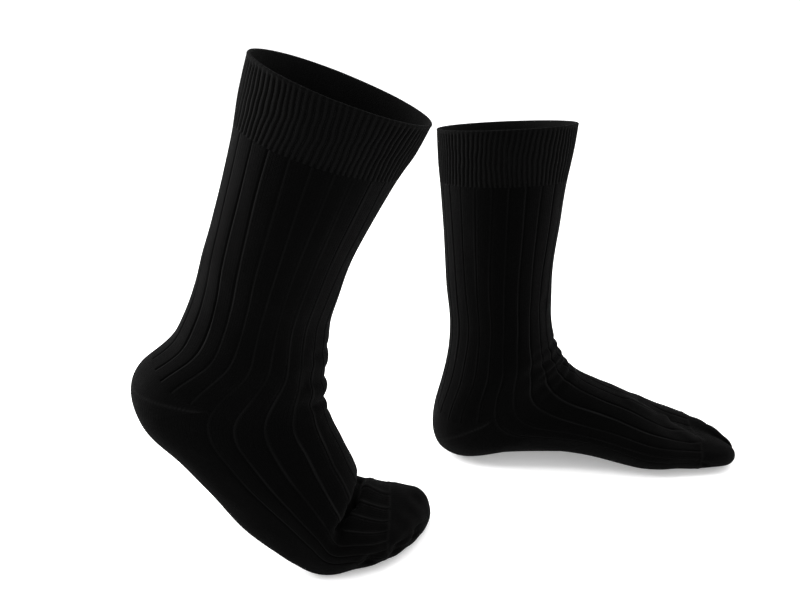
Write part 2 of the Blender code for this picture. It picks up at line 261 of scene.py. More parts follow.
# Small shapes of the knit, in millimetres.
RIB_CROWN = 0.30
GROOVE_LIP = 0.40
CUFF_STEP = 0.35
WELT_BEAD = 0.20
LINKING_HEIGHT = 0.45
LINKING_HALF_WIDTH = 1.0
GORE_HEIGHT = 0.60
GORE_HALF_WIDTH = 0.9
MOTTLE = 0.14

# Where they lie: the lip in half-widths of its groove, the welt and the heel's line in rows, and
# the heel's stitches counted all round. SIDE_FADE is how much fainter a groove is on a flat side.
LIP_PLACE = 1.7
LIP_HALF_WIDTH = 0.75
SIDE_FADE = 0.72
WELT_ROWS = 0.075
GORE_ROW = 10.6
GORE_STITCHES = 130

# How strongly the painted highlight shows on the toe seam, on the heel's stitches, on the tops of the cuff's
# ribs and on ridges, and the painted light on the cuff's inner face, beside 1 on a wide rib's edge.
SEAM_SHARE = 0.30
GORE_SHARE = 0.55
RIB_TOP_SHARE = 0.30
CREST_SHARE = 0.45
INSIDE_SHARE = 0.65


class SockKnit(bpy.types.PropertyGroup):
    """Sizes of the knit that a user would change."""

    ribs_round: bpy.props.IntProperty(
        name="Wide ribs", description="Wide ribs round the leg", default=24, min=8, max=40,
    )
    groove_depth: bpy.props.FloatProperty(
        name="Groove depth", description="Depth of the groove between two wide ribs",
        default=0.0008, min=0.0, max=0.003, unit="LENGTH", precision=5,
    )
    groove_width: bpy.props.FloatProperty(
        name="Groove width", description="Width of the groove between two wide ribs",
        default=0.0011, min=0.0005, max=0.005, unit="LENGTH", precision=5,
    )
    cuff_ribs_round: bpy.props.IntProperty(
        name="Cuff ribs", description="Fine ribs round the cuff", default=84, min=20, max=140,
    )
    cuff_rib_depth: bpy.props.FloatProperty(
        name="Cuff rib depth", description="Depth between two fine ribs of the cuff",
        default=0.0009, min=0.0, max=0.003, unit="LENGTH", precision=5,
    )
    wales_round: bpy.props.IntProperty(
        name="Wales", description="Columns of stitches all round the sock",
        default=168, min=60, max=300,
    )
    course_height: bpy.props.FloatProperty(
        name="Course height", description="Height of one row of stitches",
        default=0.0011, min=0.0003, max=0.004, unit="LENGTH", precision=5,
    )


class CottonLook(bpy.types.PropertyGroup):
    """Colour and surface of the black cotton, and the colour of its painted highlight."""

    fine_rib: bpy.props.FloatVectorProperty(
        name="Cuff colour", description="Colour of the fine rib knit",
        subtype="COLOR", size=3, default=(0.0012, 0.0012, 0.0012), min=0.0, max=1.0,
    )
    wide_rib: bpy.props.FloatVectorProperty(
        name="Leg and foot colour", description="Colour of the wide rib knit",
        subtype="COLOR", size=3, default=(0.0008, 0.0008, 0.0008), min=0.0, max=1.0,
    )
    plain: bpy.props.FloatVectorProperty(
        name="Heel and toe colour", description="Colour of the plain knit",
        subtype="COLOR", size=3, default=(0.0010, 0.0010, 0.0010), min=0.0, max=1.0,
    )
    # Colour of the painted highlight along rib edges, seams, heel stitches and ridges, and of the painted
    # light inside the cuff.
    raised_yarn: bpy.props.FloatVectorProperty(
        name="Raised yarn colour", description="Colour of the yarn that stands up along rib edges",
        subtype="COLOR", size=3, default=(0.0070, 0.0070, 0.0070), min=0.0, max=1.0,
    )
    roughness: bpy.props.FloatProperty(
        name="Roughness", description="Roughness of the yarn", default=0.88, min=0.3, max=1.0,
    )
    sheen: bpy.props.FloatProperty(
        name="Sheen", description="Soft light from the fibres at grazing angles",
        default=0.014, min=0.0, max=1.0,
    )
    stitch_relief: bpy.props.FloatProperty(
        name="Stitch relief", description="Height of a stitch above the gaps beside it",
        default=0.0003, min=0.0, max=0.002, unit="LENGTH", precision=5,
    )


class StageLook(bpy.types.PropertyGroup):
    """Floor, light and camera."""

    floor: bpy.props.FloatVectorProperty(
        name="Floor colour", description="Colour of the plain floor",
        subtype="COLOR", size=3, default=(0.93, 0.93, 0.93), min=0.0, max=1.0,
    )
    floor_glow: bpy.props.FloatProperty(
        name="Floor glow", description="Strength of the light table under the floor",
        default=0.32, min=0.0, max=2.0,
    )
    sky: bpy.props.FloatProperty(
        name="Fill light", description="Strength of the even light from all round",
        default=1.0, min=0.0, max=5.0,
    )
    left_light: bpy.props.FloatProperty(
        name="Left light", description="Power of the softbox on the left",
        default=38.0, min=0.0, max=200.0, unit="POWER",
    )
    right_light: bpy.props.FloatProperty(
        name="Right light", description="Power of the softbox on the right",
        default=8.0, min=0.0, max=200.0, unit="POWER",
    )
    top_light: bpy.props.FloatProperty(
        name="Top light", description="Power of the overhead softbox",
        default=16.0, min=0.0, max=200.0, unit="POWER",
    )
    lens: bpy.props.FloatProperty(
        name="Lens", description="Focal length of the camera in millimetres",
        default=45.0, min=10.0, max=200.0,
    )


def smooth(share):
    """0 to 1 with soft ends."""
    share = np.clip(share, 0.0, 1.0)
    return share * share * (3.0 - 2.0 * share)


def sections_at(row):
    """Every column of the section table at these rows, on one smooth natural spline."""
    table = np.array(SECTIONS, float)
    count = len(table)
    system = np.eye(count)
    bends = np.zeros_like(table)
    for k in range(1, count - 1):
        system[k, k - 1 : k + 2] = 1.0, 4.0, 1.0
        bends[k] = 6.0 * (table[k - 1] - 2.0 * table[k] + table[k + 1])
    bends = np.linalg.solve(system, bends)
    k = np.clip(row.astype(int), 0, count - 2)
    after = (row - k)[..., None]
    before = 1.0 - after
    values = before * table[k] + after * table[k + 1]
    values += ((before**3 - before) * bends[k] + (after**3 - after) * bends[k + 1]) / 6.0
    return dict(zip(SECTION_NAMES, np.moveaxis(values, -1, 0)))


def swing(x, z, pivot, angle):
    """Turn (x, z) about the pivot, lifting what is behind it for a positive angle."""
    cos, sin = np.cos(angle), np.sin(angle)
    dx, dz = x - pivot[0], z - pivot[1]
    return pivot[0] + cos * dx + sin * dz, pivot[1] - sin * dx + cos * dz


def fold_height(row, turn, fold):
    """Height of one swell or crease, which fades with the distance from its line."""
    row_a, turn_a, row_b, turn_b, height, width = fold
    middle = (turn_a + turn_b) / 2.0
    along = row * TYPICAL_ROW
    around = ((turn - middle + 0.5) % 1.0 - 0.5 + middle) * TYPICAL_GIRTH
    ax, ay = row_a * TYPICAL_ROW, turn_a * TYPICAL_GIRTH
    run_x, run_y = row_b * TYPICAL_ROW - ax, turn_b * TYPICAL_GIRTH - ay
    share = ((along - ax) * run_x + (around - ay) * run_y) / (run_x**2 + run_y**2)
    share = np.clip(share, 0.0, 1.0)
    gap = (along - ax - share * run_x) ** 2 + (around - ay - share * run_y) ** 2
    return height * np.exp(-gap / width**2)


def cloth_point(row, turn, sock):
    """Points of the cloth's outer face in metres, for arrays of rows and turns."""
    section = sections_at(row)
    angle = 2.0 * np.pi * turn
    power = section["round"]
    radius = (np.abs(np.cos(angle)) ** power + np.abs(np.sin(angle)) ** power) ** (-1.0 / power)
    across = radius * np.sin(angle)
    upward = radius * np.cos(angle) - section["sag"] * across**2

    middle_x = (section["front_x"] + section["back_x"]) / 2.0
    middle_z = (section["front_z"] + section["back_z"]) / 2.0
    middle_y = (section["inward"] - section["outward"]) / 2.0
    x = middle_x + (section["front_x"] - section["back_x"]) / 2.0 * upward
    z = middle_z + (section["front_z"] - section["back_z"]) / 2.0 * upward
    y = middle_y + (section["inward"] + section["outward"]) / 2.0 * across
    rim = sock["rim_front"] * (1.0 + upward) + sock["rim_back"] * (1.0 - upward)
    z = z + rim / 2.0 * smooth(1.0 - row / RIM_TILT_ROWS)
    z = z + section["arch"] * smooth((y + 8.0) / 38.0) * smooth((0.5 - upward) / 1.2)

    out = np.stack([x - middle_x, y - middle_y, z - middle_z])
    out = out / (np.linalg.norm(out, axis=0) + 1e-9)
    push = sum(fold_height(row, turn, fold) for fold in sock["folds"])
    for dip_x, dip_y, depth, reach in TOE_DIPS:
        near = np.exp(-((x - dip_x) ** 2 + (y - dip_y) ** 2) / reach**2)
        push = push - depth * near * smooth((row - TOE_DIPS_START) / 3.0)
    x, y, z = x + out[0] * push, y + out[1] * push, z + out[2] * push

    from_heel = np.where(section["ankle"] > 1e-3, 0.0, x)
    share = np.clip(section["ankle"], 0.0, 1.0)
    x, z = swing(x, z, ANKLE, share * math.radians(sock["ankle"]))
    share = 1.0 - smooth((from_heel - BALL_BEND_START) / BALL_BEND_LENGTH)
    x, z = swing(x, z, BALL, share * math.radians(sock["heel_raise"]))

    y = sock["inner_side"] * y
    share = np.clip((section["front_z"] - 85.0) / 60.0, 0.0, 1.0)
    roll = share * math.radians(sock["leg_roll"])
    y, z = (
        y * np.cos(roll) - (z - 80.0) * np.sin(roll),
        80.0 + y * np.sin(roll) + (z - 80.0) * np.cos(roll),
    )
    z = np.maximum(z - SOLE_PRESS, 0.0)

    x = x - MIDDLE_OF_FOOT
    yaw = math.radians(sock["yaw"])
    world_x = sock["x"] + x * math.cos(yaw) - y * math.sin(yaw)
    world_y = sock["y"] + x * math.sin(yaw) + y * math.cos(yaw)
    return np.stack([world_x, world_y, z], axis=-1) * MM


def cloth_normal(row, turn, sock):
    """Unit normals of the cloth's outer face, pointing out of the sock."""
    step_row, step_turn = 0.02, 0.002
    below = cloth_point(np.minimum(row + step_row, LAST_ROW), turn, sock)
    above = cloth_point(np.maximum(row - step_row, 0.0), turn, sock)
    around = cloth_point(row, turn + step_turn, sock) - cloth_point(row, turn - step_turn, sock)
    normal = np.cross(below - above, around) * sock["inner_side"]
    return normal / (np.linalg.norm(normal, axis=-1, keepdims=True) + 1e-12)


def heel_edge(turn, row_at_back):
    """Row of the heel pocket's edge: at the back it is row_at_back, at both corners the corner's row."""
    away = np.abs((turn % 1.0) - 0.5) / HEEL_HALF_TURN
    rise = 1.0 - smooth(away) * 0.35 - np.clip(away, 0.0, 1.0) * 0.65
    return HEEL_CORNER + (row_at_back - HEEL_CORNER) * rise


def girth_at(row):
    """Girth of the sections at these rows, in millimetres."""
    section = sections_at(row)
    deep = np.hypot(section["front_x"] - section["back_x"], section["front_z"] - section["back_z"])
    return math.pi / 2.0 * (deep + section["inward"] + section["outward"])


def wander(row, turn):
    """How far round, in turns, the wales stray from straight lines."""
    stray = 0.0013 * np.sin(10.0 * np.pi * turn + 0.9 * row)
    stray += 0.0008 * np.sin(22.0 * np.pi * turn - 1.7 * row + 1.0)
    return stray + 0.0004 * np.sin(46.0 * np.pi * turn + 3.1 * row)


def mottle(row, turn):
    """Faint unevenness of the cloth."""
    wave = np.sin(14.0 * np.pi * turn + 1.3 * row) * np.sin(0.9 * row + 6.0 * np.pi * turn + 0.7)
    wave += 0.6 * np.sin(26.0 * np.pi * turn - 2.9 * row) * np.sin(2.1 * row + 10.0 * np.pi * turn)
    return MOTTLE * wave


def crease_relief(row, turn, sock):
    """Creases and soft ridges of this sock, with the faint unevenness of its cloth."""
    fade = smooth((LAST_ROW - row) / 1.5)
    return (sum(fold_height(row, turn, crease) for crease in sock["creases"]) + mottle(row, turn)) * fade


def painted_crest_highlight(creases):
    """Painted highlight on ridges: how much lighter the colour is made over a raised crease."""
    return CREST_SHARE * smooth((creases - 0.5) / 2.2)


def linked_seam(row):
    """1 on the linked seam that closes the toe cap onto the foot."""
    gap = (row - TOE_SEAM) * TYPICAL_ROW
    return np.exp(-((gap / LINKING_HALF_WIDTH) ** 2))


def plain_sole(row, turn):
    """1 where the tube is plain knit, under the foot, and 0 where it is ribbed."""
    from_edge = HEEL_HALF_TURN - np.abs((turn % 1.0) - 0.5)
    return smooth((from_edge - 0.012) / 0.012) * smooth((row - HEEL_CORNER) / 0.3)


def off_groove(row, turn, knit):
    """Place beside the nearest groove between wide ribs, in half-widths of the groove."""
    rib = turn * knit.ribs_round
    off = (rib - np.round(rib)) * girth_at(row) / knit.ribs_round
    return off / (knit.groove_width / MM / 2.0)


def pull(row, turn, knit):
    """How far each groove is drawn in: most on shin and calf, least on the flat sides."""
    groove = np.round(turn * knit.ribs_round)
    flat_side = np.abs(np.sin(2.0 * np.pi * groove / knit.ribs_round)) ** 3
    own = 0.85 + 0.25 * np.sin(2.4 * groove + 0.5 * row) + 0.22 * np.sin(5.1 * groove - 1.9 * row)
    return own * (1.0 - SIDE_FADE * flat_side)


def rib_edge(row, turn, knit):
    """1 along the first edge of each wide rib, where its lip stands up and where the painted highlight goes.
    """
    lip = np.exp(-(((off_groove(row, turn, knit) - LIP_PLACE) / LIP_HALF_WIDTH) ** 2))
    return lip * pull(row, turn, knit) * (1.0 - plain_sole(row, turn))


def wide_rib_relief(row, turn, knit):
    """Wide ribs with narrow grooves, all round the leg and on the upper half of the foot."""
    rib = turn * knit.ribs_round
    gap = np.abs(rib - np.round(rib))
    groove = np.exp(-(off_groove(row, turn, knit) ** 2))
    crown = RIB_CROWN * (1.0 - (1.0 - 2.0 * gap) ** 4)
    depth = knit.groove_depth / MM * pull(row, turn, knit)
    sole = plain_sole(row, turn)
    relief = (crown - depth * groove) * (1.0 - sole) + RIB_CROWN * sole
    return relief + GROOVE_LIP * rib_edge(row, turn, knit)


def fine_rib_relief(row, turn, knit):
    """Fine one by one ribs of the cuff, which die out under the welt and at the leg."""
    rib = np.abs(np.cos(math.pi * turn * knit.cuff_ribs_round)) ** 0.8 - 1.0
    die_out = smooth((row - WELT_ROWS) / 0.05) * smooth((CUFF_END - row) / 0.04)
    welt = WELT_BEAD * (1.0 - smooth((row - WELT_ROWS * 0.7) / (WELT_ROWS * 0.5)))
    return CUFF_STEP + knit.cuff_rib_depth / MM * rib * die_out + welt


def gore_stitches(row, turn):
    """1 on each of the fashioning stitches that cross both sides of the heel pocket in a line."""
    away = np.abs(turn - 0.5)
    along = smooth((away - 0.05) / 0.03) * smooth((0.243 - away) / 0.01)
    gap = (row - GORE_ROW) * TYPICAL_ROW
    stitch = 0.55 + 0.45 * np.cos(2.0 * math.pi * GORE_STITCHES * turn)
    return along * stitch * np.exp(-((gap / GORE_HALF_WIDTH) ** 2))


def knit_points(row, turn, sock, height):
    """The cloth's outer face with its relief of this height, never below the floor."""
    strayed = turn + wander(row, turn)
    points = cloth_point(row, strayed, sock)
    points = points + cloth_normal(row, strayed, sock) * (height * MM)[..., None]
    points[..., 2] = np.maximum(points[..., 2], 0.0)
    return points


def rows_between(first, last, count, gather=0.0, middle=0.5):
    """Rows from first to last, closer together round the middle by the gather."""
    weight = 1.0 + gather * np.exp(-(((np.arange(count) + 0.5) / count - middle) / 0.13) ** 2)
    share = np.concatenate([[0.0], np.cumsum(1.0 / weight)])
    share = (share / share[-1])[:, None]
    return first + (last - first) * share


def run_along(points, course_height):
    """Stitch rows counted down each column of a grid of points."""
    step = np.linalg.norm(np.diff(points, axis=0), axis=-1)
    length = np.concatenate([np.zeros((1, points.shape[1])), np.cumsum(step, axis=0)])
    return length / course_height


class Sheet:
    """Points, faces and knit coordinates of one piece, gathered grid by grid."""

    def __init__(self, sock):
        self.points, self.edges, self.faces, self.coordinates = [], [], [], []
        self.count = 0
        self.flip = sock["inner_side"] < 0

    def add_points(self, points, edge):
        self.points.append(points.reshape(-1, 3))
        self.edges.append(edge.ravel())
        self.count += self.points[-1].shape[0]

    def add_faces(self, corners, wales, courses):
        """Faces from corner indices, each with its corners' wale and course."""
        if self.flip:
            corners, wales, courses = corners[:, ::-1], wales[:, ::-1], courses[:, ::-1]
        self.faces += corners.tolist()
        self.coordinates.append(np.stack([wales, courses], axis=-1).reshape(-1, 2))

    def add_grid(self, points, edge, wales, courses, closed=True, loops=False):
        """A grid of points; a closed one joins its last column to its first, and one that loops
        also joins its last row to its first. wales has one more column when the grid is closed."""
        rows, columns = points.shape[:2]
        first = self.count
        self.add_points(points, np.broadcast_to(edge, points.shape[:2]))
        i = np.arange(rows if loops else rows - 1)[:, None]
        j = np.arange(columns if closed else columns - 1)[None, :]
        down, right = (i + 1) % rows, (j + 1) % columns
        corners = [first + i * columns + j, first + down * columns + j]
        corners += [first + down * columns + right, first + i * columns + right]
        corners = np.stack(np.broadcast_arrays(*corners), axis=-1).reshape(-1, 4)
        left, beside = wales[j] + 0.0 * i, wales[j + 1] + 0.0 * i
        across = np.stack([left, left, beside, beside], axis=-1)
        below = np.where(down > i, courses[down, j], 2.0 * courses[i, j] - courses[i - 1, j])
        below_right = np.where(down > i, courses[down, right], below)
        along = np.stack([courses[i, j], below, below_right, courses[i, right]], axis=-1)
        self.add_faces(corners, across.reshape(-1, 4), along.reshape(-1, 4))

    def add_cap(self, ring_start, wales, course):
        """Closes the last ring of a closed grid with one point in its middle."""
        columns = len(wales) - 1
        ring = self.points[-1][ring_start : ring_start + columns]
        first = self.count - columns
        self.add_points(ring.mean(axis=0, keepdims=True), np.zeros(1))
        j = np.arange(columns)
        corners = np.stack([first + j, np.full(columns, self.count - 1), first + (j + 1) % columns], -1)
        across = np.stack([wales[:-1], (wales[:-1] + wales[1:]) / 2.0, wales[1:]], -1)
        along = np.stack([course, course + 1.0, np.roll(course, -1)], -1)
        self.add_faces(corners, across, along)

    def make(self, name, finish, wall=None):
        """The finished object: doubles merged, wall put on inside, smooth with sharp seam edges."""
        bpy.ops.object.select_all(action="DESELECT")
        mesh = bpy.data.meshes.new(name)
        mesh.from_pydata(np.concatenate(self.points), [], self.faces)
        layer = mesh.uv_layers.new(name="knit")
        layer.data.foreach_set("uv", np.concatenate(self.coordinates).ravel())
        # Each point's share of the painted highlight, which the material mixes into the colour.
        edge = mesh.attributes.new("raised_yarn", "FLOAT", "POINT")
        edge.data.foreach_set("value", np.concatenate(self.edges))
        mesh.materials.append(finish)
        piece = bpy.data.objects.new(name, mesh)
        bpy.context.scene.collection.objects.link(piece)
        bpy.context.view_layer.objects.active = piece
        piece.select_set(True)
        bpy.ops.object.mode_set(mode="EDIT")
        bpy.ops.mesh.select_all(action="SELECT")
        bpy.ops.mesh.remove_doubles(threshold=1e-6)
        bpy.ops.object.mode_set(mode="OBJECT")
        if wall is not None:
            solidify = piece.modifiers.new("cloth_wall", "SOLIDIFY")
            solidify.thickness = wall * MM
            solidify.offset = -1.0
            solidify.use_even_offset = False
            bpy.ops.object.modifier_apply(modifier=solidify.name)
        piece.data.shade_smooth()
        piece.data.set_sharp_from_angle(angle=SHARP_ANGLE)
        piece.select_set(False)
        return piece


def wale_numbers(turn, knit):
    """Wale coordinates for a row of turns, with a groove's wale centred on each wide rib's edge."""
    return turn * knit.wales_round + 0.5


def closed_turns(columns_of_rib, ribs):
    """Turns once round, with these columns in each rib, and the closing turn after them."""
    turn = (np.arange(ribs)[:, None] + np.array(columns_of_rib)[None, :]).ravel() / ribs
    return turn[None, :], np.append(turn, 1.0)


class Nodes:
    """Short ways to wire a material's nodes."""

    def __init__(self, name):
        self.material = bpy.data.materials.new(name)
        self.material.use_nodes = True
        self.tree = self.material.node_tree
        self.shader = self.tree.nodes["Principled BSDF"]

    def new(self, kind, **settings):
        node = self.tree.nodes.new(kind)
        for key, value in settings.items():
            setattr(node, key, value)
        return node

    def join(self, value, socket):
        """Puts a number or another node's socket into this socket."""
        if isinstance(value, (int, float)):
            socket.default_value = value
        else:
            self.tree.links.new(value, socket)

    def math(self, operation, first, second=0.0):
        node = self.new("ShaderNodeMath", operation=operation)
        self.join(first, node.inputs[0])
        self.join(second, node.inputs[1])
        return node.outputs[0]

    def noise(self, place, scale, detail=3.0, roughness=0.6):
        node = self.new("ShaderNodeTexNoise")
        self.tree.links.new(place, node.inputs["Vector"])
        node.inputs["Scale"].default_value = scale
        node.inputs["Detail"].default_value = detail
        node.inputs["Roughness"].default_value = roughness
        return node.outputs["Fac"]


def knit_finish(name, colour, look, wale_depth):
    """Black cotton knit: chains of V stitches, faint fuzz, uneven dye with painted shade in the gaps between
    stitches, a painted highlight mixed in by each point's share, and a soft sheen.
    """
    made = bpy.data.materials.get(name + "_cotton")
    if made is not None:
        return made
    nodes = Nodes(name + "_cotton")
    place = nodes.new("ShaderNodeTexCoord")
    knit = nodes.new("ShaderNodeUVMap", uv_map="knit")
    parts = nodes.new("ShaderNodeSeparateXYZ")
    nodes.join(knit.outputs["UV"], parts.inputs[0])

    in_wale = nodes.math("FRACT", parts.outputs["X"])
    from_middle = nodes.math("ABSOLUTE", nodes.math("SUBTRACT", in_wale, 0.5))
    slant = nodes.math("MULTIPLY", from_middle, 1.3)
    chain = nodes.math("ADD", parts.outputs["Y"], slant)
    yarn = nodes.math("COSINE", nodes.math("MULTIPLY", chain, 2.0 * math.pi))
    side = nodes.math("MULTIPLY", from_middle, 2.0)
    round_wale = nodes.math("SUBTRACT", 1.0, nodes.math("POWER", side, 2.5))
    split = nodes.math("SUBTRACT", 1.0, nodes.math("POWER", nodes.math("SUBTRACT", 1.0, side), 6.0))
    stitch = nodes.math("ADD", nodes.math("MULTIPLY", yarn, 0.30), 0.70)
    stitch = nodes.math("MULTIPLY", stitch, nodes.math("MULTIPLY", round_wale, split))
    fuzz = nodes.noise(place.outputs["Object"], 1800.0, 2.0)
    height = nodes.math("ADD", nodes.math("MULTIPLY", stitch, wale_depth), nodes.math("MULTIPLY", fuzz, 0.35))

    bump = nodes.new("ShaderNodeBump")
    bump.inputs["Strength"].default_value = 1.0
    bump.inputs["Distance"].default_value = look.stitch_relief
    nodes.join(height, bump.inputs["Height"])
    nodes.join(bump.outputs["Normal"], nodes.shader.inputs["Normal"])

    dye = nodes.noise(place.outputs["Object"], 38.0, 4.0)
    lint = nodes.noise(place.outputs["Object"], 700.0, 1.0)
    dye_and_painted_shade = nodes.math("ADD", nodes.math("MULTIPLY", dye, 0.5), nodes.math("MULTIPLY", lint, 0.5))
    # Lighter on the stitches' tops: painted shade in the gaps between stitches.
    dye_and_painted_shade = nodes.math("ADD", nodes.math("MULTIPLY", stitch, 0.35), dye_and_painted_shade)
    ramp = nodes.new("ShaderNodeValToRGB")
    ramp.color_ramp.elements[0].position = 0.25
    ramp.color_ramp.elements[0].color = (*(0.65 * part for part in colour), 1.0)
    ramp.color_ramp.elements[1].position = 0.95
    ramp.color_ramp.elements[1].color = (*(1.45 * part for part in colour), 1.0)
    nodes.join(dye_and_painted_shade, ramp.inputs["Fac"])
    # Painted highlight: the colour is lifted towards the highlight colour by each point's share.
    edge = nodes.new("ShaderNodeAttribute", attribute_name="raised_yarn")
    lift = nodes.new("ShaderNodeMix", data_type="RGBA")
    nodes.join(edge.outputs["Fac"], lift.inputs["Factor"])
    nodes.join(ramp.outputs["Color"], lift.inputs["A"])
    lift.inputs["B"].default_value = (*look.raised_yarn, 1.0)
    nodes.join(lift.outputs["Result"], nodes.shader.inputs["Base Color"])

    rough = nodes.math("ADD", nodes.math("MULTIPLY", dye, 0.12), look.roughness - 0.06)
    nodes.join(rough, nodes.shader.inputs["Roughness"])
    nodes.shader.inputs["Specular IOR Level"].default_value = 0.012
    nodes.shader.inputs["Sheen Weight"].default_value = look.sheen
    nodes.shader.inputs["Sheen Roughness"].default_value = 0.45
    nodes.shader.inputs["Sheen Tint"].default_value = (1.0, 1.0, 1.0, 1.0)
    nodes.material.diffuse_color = (*colour, 1.0)
    return nodes.material


def hand_over(piece, node):
    """Hangs a finished piece on the root body and hides the solid it stands in for."""
    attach(piece, "root")
    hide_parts(node)


class SOCKS_OT_cuffs(bpy.types.Operator):
    """Knit both cuffs: a fine rib band with a clean rounded welt at the opening"""

    bl_idname = "socks.cuffs"
    bl_label = "Cuffs"

    def execute(self, context):
        knit, look = context.scene.sock_knit, context.scene.sock_cotton
        finish = knit_finish("fine_rib_knit", look.fine_rib, look, 1.0)
        steps = [k / CUFF_RIB_COLUMNS for k in range(CUFF_RIB_COLUMNS)]
        turn, all_round = closed_turns(steps, knit.cuff_ribs_round)
        rim = np.linspace(0.0, math.pi, RIM_STEPS + 1)[1:-1]
        rim_row = WELT_ROWS * 0.6
        outer = np.linspace(rim_row, CUFF_END, CUFF_ROWS)
        inner = np.linspace(CUFF_END, rim_row, CUFF_INNER_ROWS)
        row = np.concatenate([outer, inner, rim_row * (1.0 - np.sin(rim[::-1]))])
        depth = np.concatenate([
            np.zeros(CUFF_ROWS),
            np.full(CUFF_INNER_ROWS, CUFF_WALL),
            CUFF_WALL / 2.0 * (1.0 - np.cos(rim[::-1])),
        ])
        outside = (depth < CUFF_WALL / 2.0)[:, None]
        row, depth = row[:, None] + 0.0 * turn, depth[:, None]
        for side, sock in SOCKS.items():
            lean = sock["drift"] * np.sin(math.pi * row / CUFF_END)
            lean = lean * np.sin(4.0 * math.pi * (turn - sock["drift_start"]))
            ripple = 0.0007 * np.sin(9.0 * row + 18.0 * math.pi * turn)
            lean = lean + ripple * np.sin(math.pi * row / CUFF_END)
            relief = fine_rib_relief(row, turn, knit)
            height = np.where(outside, relief, CUFF_STEP) + crease_relief(row, turn, sock) - depth
            points = knit_points(row, turn + lean, sock, height)
            sheet = Sheet(sock)
            courses = run_along(points, knit.course_height)
            # Painted highlight on the tops of the fine ribs, and painted light on the cuff's inner face,
            # lightest at the opening and darker towards the leg.
            rib_top = RIB_TOP_SHARE * np.cos(math.pi * turn * knit.cuff_ribs_round) ** 4
            edge = np.where(outside, rib_top, INSIDE_SHARE * (1.0 - 0.8 * row / CUFF_END))
            sheet.add_grid(points, edge, wale_numbers(all_round, knit), courses, loops=True)
            piece = sheet.make(f"{side}_cuff_rib", finish)
            hand_over(piece, f"{side}_cuff")
        return {"FINISHED"}


class SOCKS_OT_legs_and_feet(bpy.types.Operator):
    """Knit both tubes of leg and foot, in wide rib with a plain sole, open where the heel goes"""

    bl_idname = "socks.legs_and_feet"
    bl_label = "Legs and feet"

    def execute(self, context):
        knit, look = context.scene.sock_knit, context.scene.sock_cotton
        finish = knit_finish("wide_rib_knit", look.wide_rib, look, 0.9)
        turn, all_round = closed_turns(WIDE_RIB_COLUMNS, knit.ribs_round)
        wales = wale_numbers(all_round, knit)
        leg = rows_between(CUFF_END + 0.0 * turn, heel_edge(turn, HEEL_TOP_AT_BACK), LEG_ROWS)
        foot = rows_between(
            heel_edge(turn, HEEL_END_UNDER_SOLE), TOE_SEAM + 0.0 * turn, FOOT_ROWS,
            gather=1.3, middle=0.74,
        )
        for side, sock in SOCKS.items():
            sheet = Sheet(sock)
            for row in (leg, foot):
                creases = crease_relief(row, turn, sock)
                shut = smooth(-creases / 2.5)
                height = wide_rib_relief(row, turn, knit) * (1.0 - shut) + creases
                height = height + LINKING_HEIGHT * linked_seam(row)
                points = knit_points(row, turn + 0.0 * row, sock, height)
                # Painted highlight along the first edge of each wide rib and on the toe seam, and on the
                # ridges below.
                edge = np.maximum(rib_edge(row, turn, knit) * (1.0 - shut), SEAM_SHARE * linked_seam(row))
                edge = np.maximum(edge, painted_crest_highlight(creases))
                sheet.add_grid(points, edge, wales, run_along(points, knit.course_height))
            piece = sheet.make(f"{side}_leg_and_foot_knit", finish, TUBE_WALL)
            hand_over(piece, f"{side}_leg_and_foot")
        return {"FINISHED"}


class SOCKS_OT_heels(bpy.types.Operator):
    """Knit both heel pockets: plain cups, each with its fashioning line on both sides"""

    bl_idname = "socks.heels"
    bl_label = "Heels"

    def execute(self, context):
        knit, look = context.scene.sock_knit, context.scene.sock_cotton
        finish = knit_finish("plain_knit", look.plain, look, 0.8)
        first, last = 0.5 - HEEL_HALF_TURN, 0.5 + HEEL_HALF_TURN
        turn = np.linspace(first, last, HEEL_COLUMNS + 1)
        wales = wale_numbers(turn, knit)
        turn = turn[None, :]
        upper, lower = heel_edge(turn, HEEL_TOP_AT_BACK), heel_edge(turn, HEEL_END_UNDER_SOLE)
        row = rows_between(upper, lower, HEEL_ROWS)
        for side, sock in SOCKS.items():
            stitches = gore_stitches(row, turn)
            height = RIB_CROWN + GORE_HEIGHT * stitches + crease_relief(row, turn, sock)
            points = knit_points(row, turn + 0.0 * row, sock, height)
            sheet = Sheet(sock)
            courses = run_along(points, knit.course_height)
            # Painted highlight on the fashioning stitches of the heel.
            sheet.add_grid(points, GORE_SHARE * stitches, wales, courses, closed=False)
            piece = sheet.make(f"{side}_heel_pocket", finish, HEEL_AND_TOE_WALL)
            hand_over(piece, f"{side}_heel")
        return {"FINISHED"}


